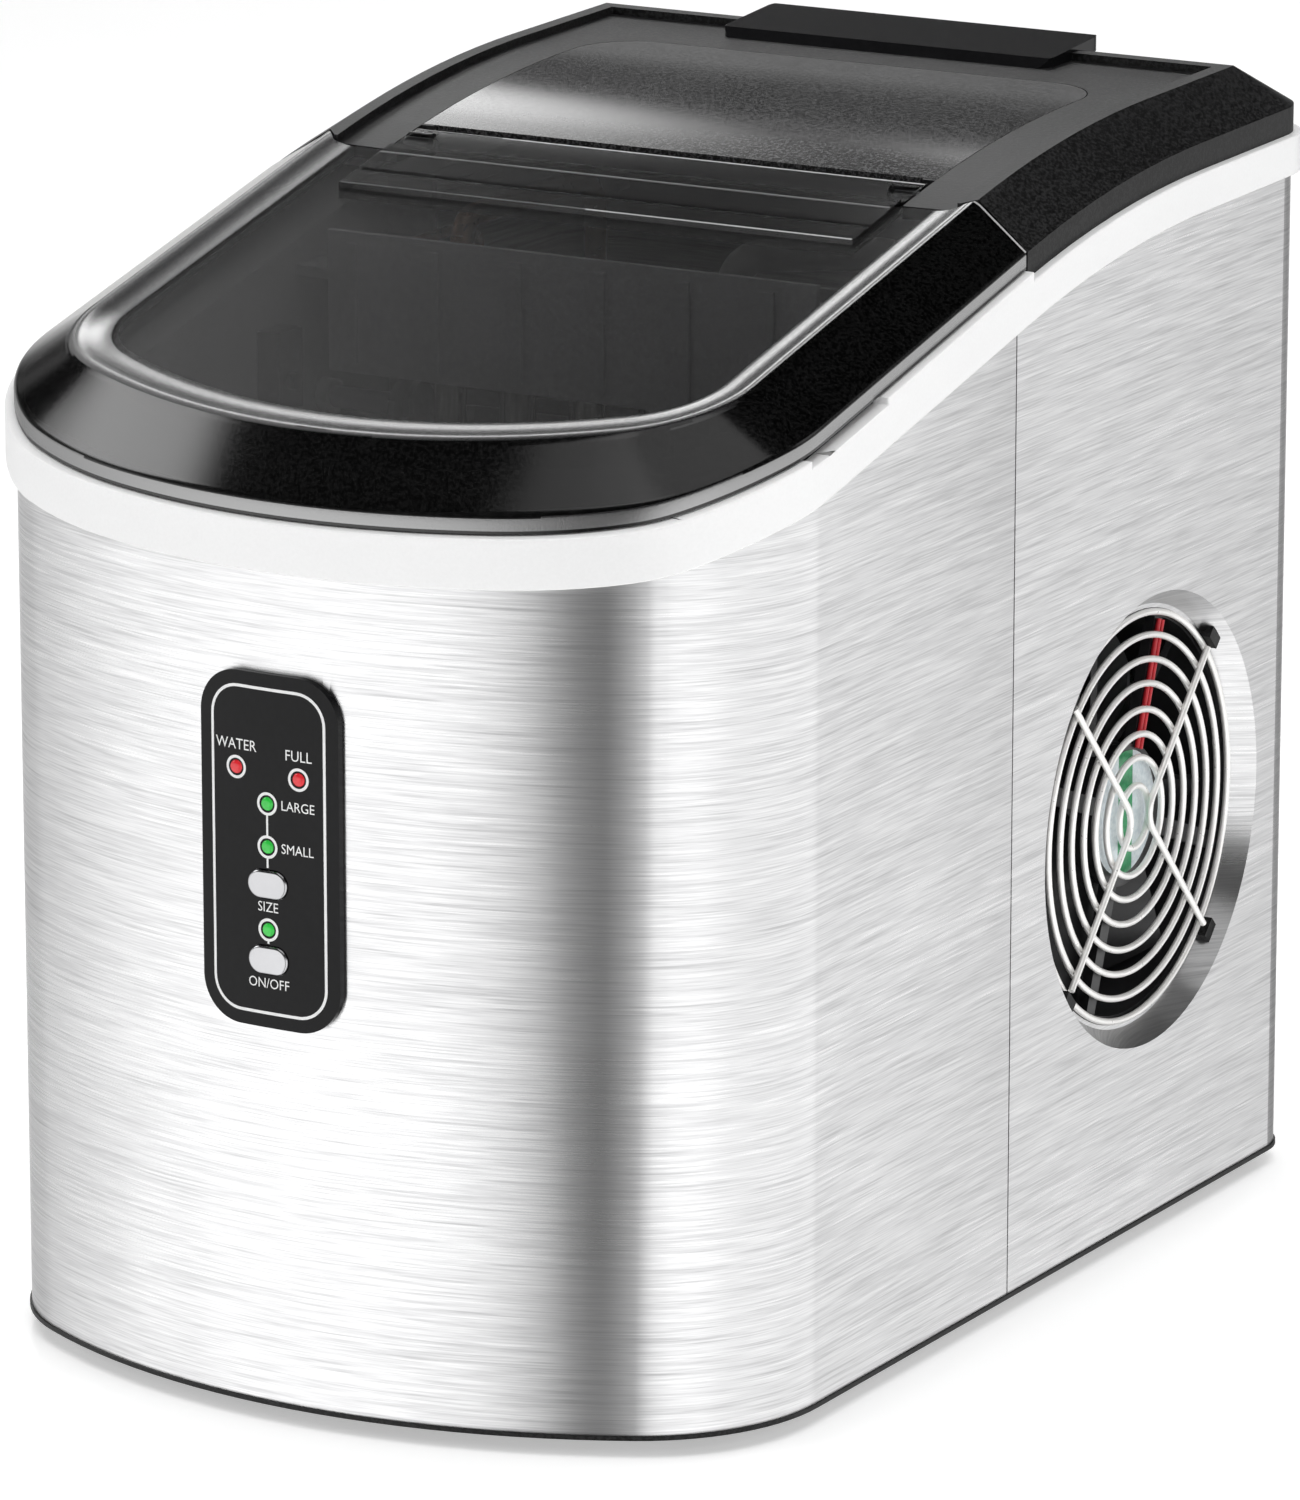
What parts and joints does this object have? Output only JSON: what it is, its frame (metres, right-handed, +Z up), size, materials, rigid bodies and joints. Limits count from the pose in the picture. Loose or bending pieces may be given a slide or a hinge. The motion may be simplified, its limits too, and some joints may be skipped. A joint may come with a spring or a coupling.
{
  "type": "ice maker",
  "caption": "Countertop ice maker with a brushed steel shell, white trim band, sloping smoked lid, front key panel and a side fan behind a wire guard.",
  "frame": {"origin": "centre of the footprint on the surface it stands on", "axes": "+Z up, +Y from the front panel to the back, +X to the right seen from the front"},
  "size_m": [0.242, 0.358, 0.3206],
  "materials": {
    "steel_shell": "brushed",
    "white_trim": "semi-gloss",
    "black_gloss": "gloss",
    "black_matte": "fine grain",
    "smoked_clear": "smoked",
    "grey_liner": "satin",
    "pale_plastic": "satin",
    "fan_black": "satin",
    "rubber": "matte",
    "silicone": "satin",
    "chrome_key": "satin",
    "guard_chrome": "polished",
    "plated_copper": "satin",
    "nickel": "satin",
    "fin_aluminium": "satin",
    "zinc_steel": "satin",
    "compressor_black": "satin",
    "board_green": "satin",
    "lamp_red": "gloss",
    "lamp_green": "gloss",
    "foam_white": "matte",
    "lead_red": "satin"
  },
  "bodies": {
    "cabinet": {"front_shell": "steel_shell", "rear_shell": "steel_shell", "rear_vent": "black_matte", "trim_band": "white_trim", "base_pan": "black_matte", "rubber_feet": "rubber", "lid_hinge_pins": "zinc_steel", "top_cover": "black_matte", "cover_panel": "black_matte", "badge_bar": "black_gloss", "control_bezel": "black_gloss", "warning_lamps": "lamp_red", "status_lamps": "lamp_green", "display_board": "board_green", "tact_switches": "fan_black", "fan_guard": "guard_chrome", "guard_clips": "black_matte", "fan_frame": "fan_black", "fan_axle": "zinc_steel", "fan_lead": "lead_red", "inner_tub": "grey_liner", "tub_insulation": "foam_white", "shaft_bushes": "pale_plastic", "tray_motor": "zinc_steel", "ice_chute": "grey_liner", "evaporator_manifold": "nickel", "freezing_fingers": "nickel", "evaporator_bracket": "grey_liner", "evaporator_shield": "grey_liner", "water_spout": "pale_plastic", "infrared_sensors": "fan_black", "water_pump": "fan_black", "water_hose": "silicone", "compressor": "compressor_black", "compressor_grommets": "rubber", "start_relay": "fan_black", "condenser_fins": "fin_aluminium", "condenser_tube": "plated_copper", "condenser_ends": "zinc_steel", "filter_drier": "plated_copper", "discharge_tube": "plated_copper", "suction_tube": "plated_copper", "liquid_tube": "plated_copper", "hot_gas_valve": "zinc_steel", "board_bracket": "pale_plastic", "control_board": "board_green", "cord_gland": "rubber", "shell_screws": "zinc_steel"},
    "lid": {"lid_frame": "black_gloss", "lid_window": "smoked_clear", "lid_hinge_bar": "black_gloss"},
    "cube_size_key": {"cube_size_button": "chrome_key"},
    "power_key": {"power_button": "chrome_key"},
    "basket": {"ice_basket": "pale_plastic"},
    "tray": {"water_tray": "grey_liner", "tray_shafts": "zinc_steel"},
    "shovel": {"ice_shovel": "grey_liner"},
    "fan": {"fan_rotor": "fan_black"},
    "impeller": {"pump_impeller": "pale_plastic"},
    "drain_plug": {"drain_cap": "rubber"}
  },
  "joints": [
    {"name": "lid_hinge", "type": "hinge", "parent": "cabinet", "child": "lid", "pos_m": [0, 0.0155, 0.3028], "axis": [-1, 0, 0], "range_deg": [0, 105]},
    {"name": "cube_size_press", "type": "slide", "parent": "cabinet", "child": "cube_size_key", "axis": [0, 1, 0], "range_m": [0, 0.001], "stiffness_N_per_m": 300},
    {"name": "power_press", "type": "slide", "parent": "cabinet", "child": "power_key", "axis": [0, 1, 0], "range_m": [0, 0.001], "stiffness_N_per_m": 300},
    {"name": "basket_lift", "type": "slide", "parent": "cabinet", "child": "basket", "axis": [0, 0, 1], "range_m": [0, 0.03]},
    {"name": "tray_tilt", "type": "hinge", "parent": "cabinet", "child": "tray", "pos_m": [0, -0.014, 0.236], "axis": [1, 0, 0], "range_deg": [0, 70]},
    {"name": "shovel_sweep", "type": "hinge", "parent": "cabinet", "child": "shovel", "pos_m": [0, -0.014, 0.236], "axis": [1, 0, 0], "range_deg": [-58, 0]},
    {"name": "fan_spin", "type": "hinge", "parent": "cabinet", "child": "fan", "pos_m": [0.095, 0.084, 0.1202], "axis": [1, 0, 0], "continuous": true},
    {"name": "impeller_spin", "type": "hinge", "parent": "cabinet", "child": "impeller", "pos_m": [0.034, 0, 0.07], "axis": [0, 0, 1], "continuous": true},
    {"name": "drain_cap_turn", "type": "hinge", "parent": "cabinet", "child": "drain_plug", "pos_m": [0.06, -0.07, 0.01], "axis": [0, 0, -1], "range_deg": [0, 90]}
  ],
  "couplings": [
    {"joint": "shovel_sweep", "follows": "tray_tilt", "ratio": -0.82}
  ]
}
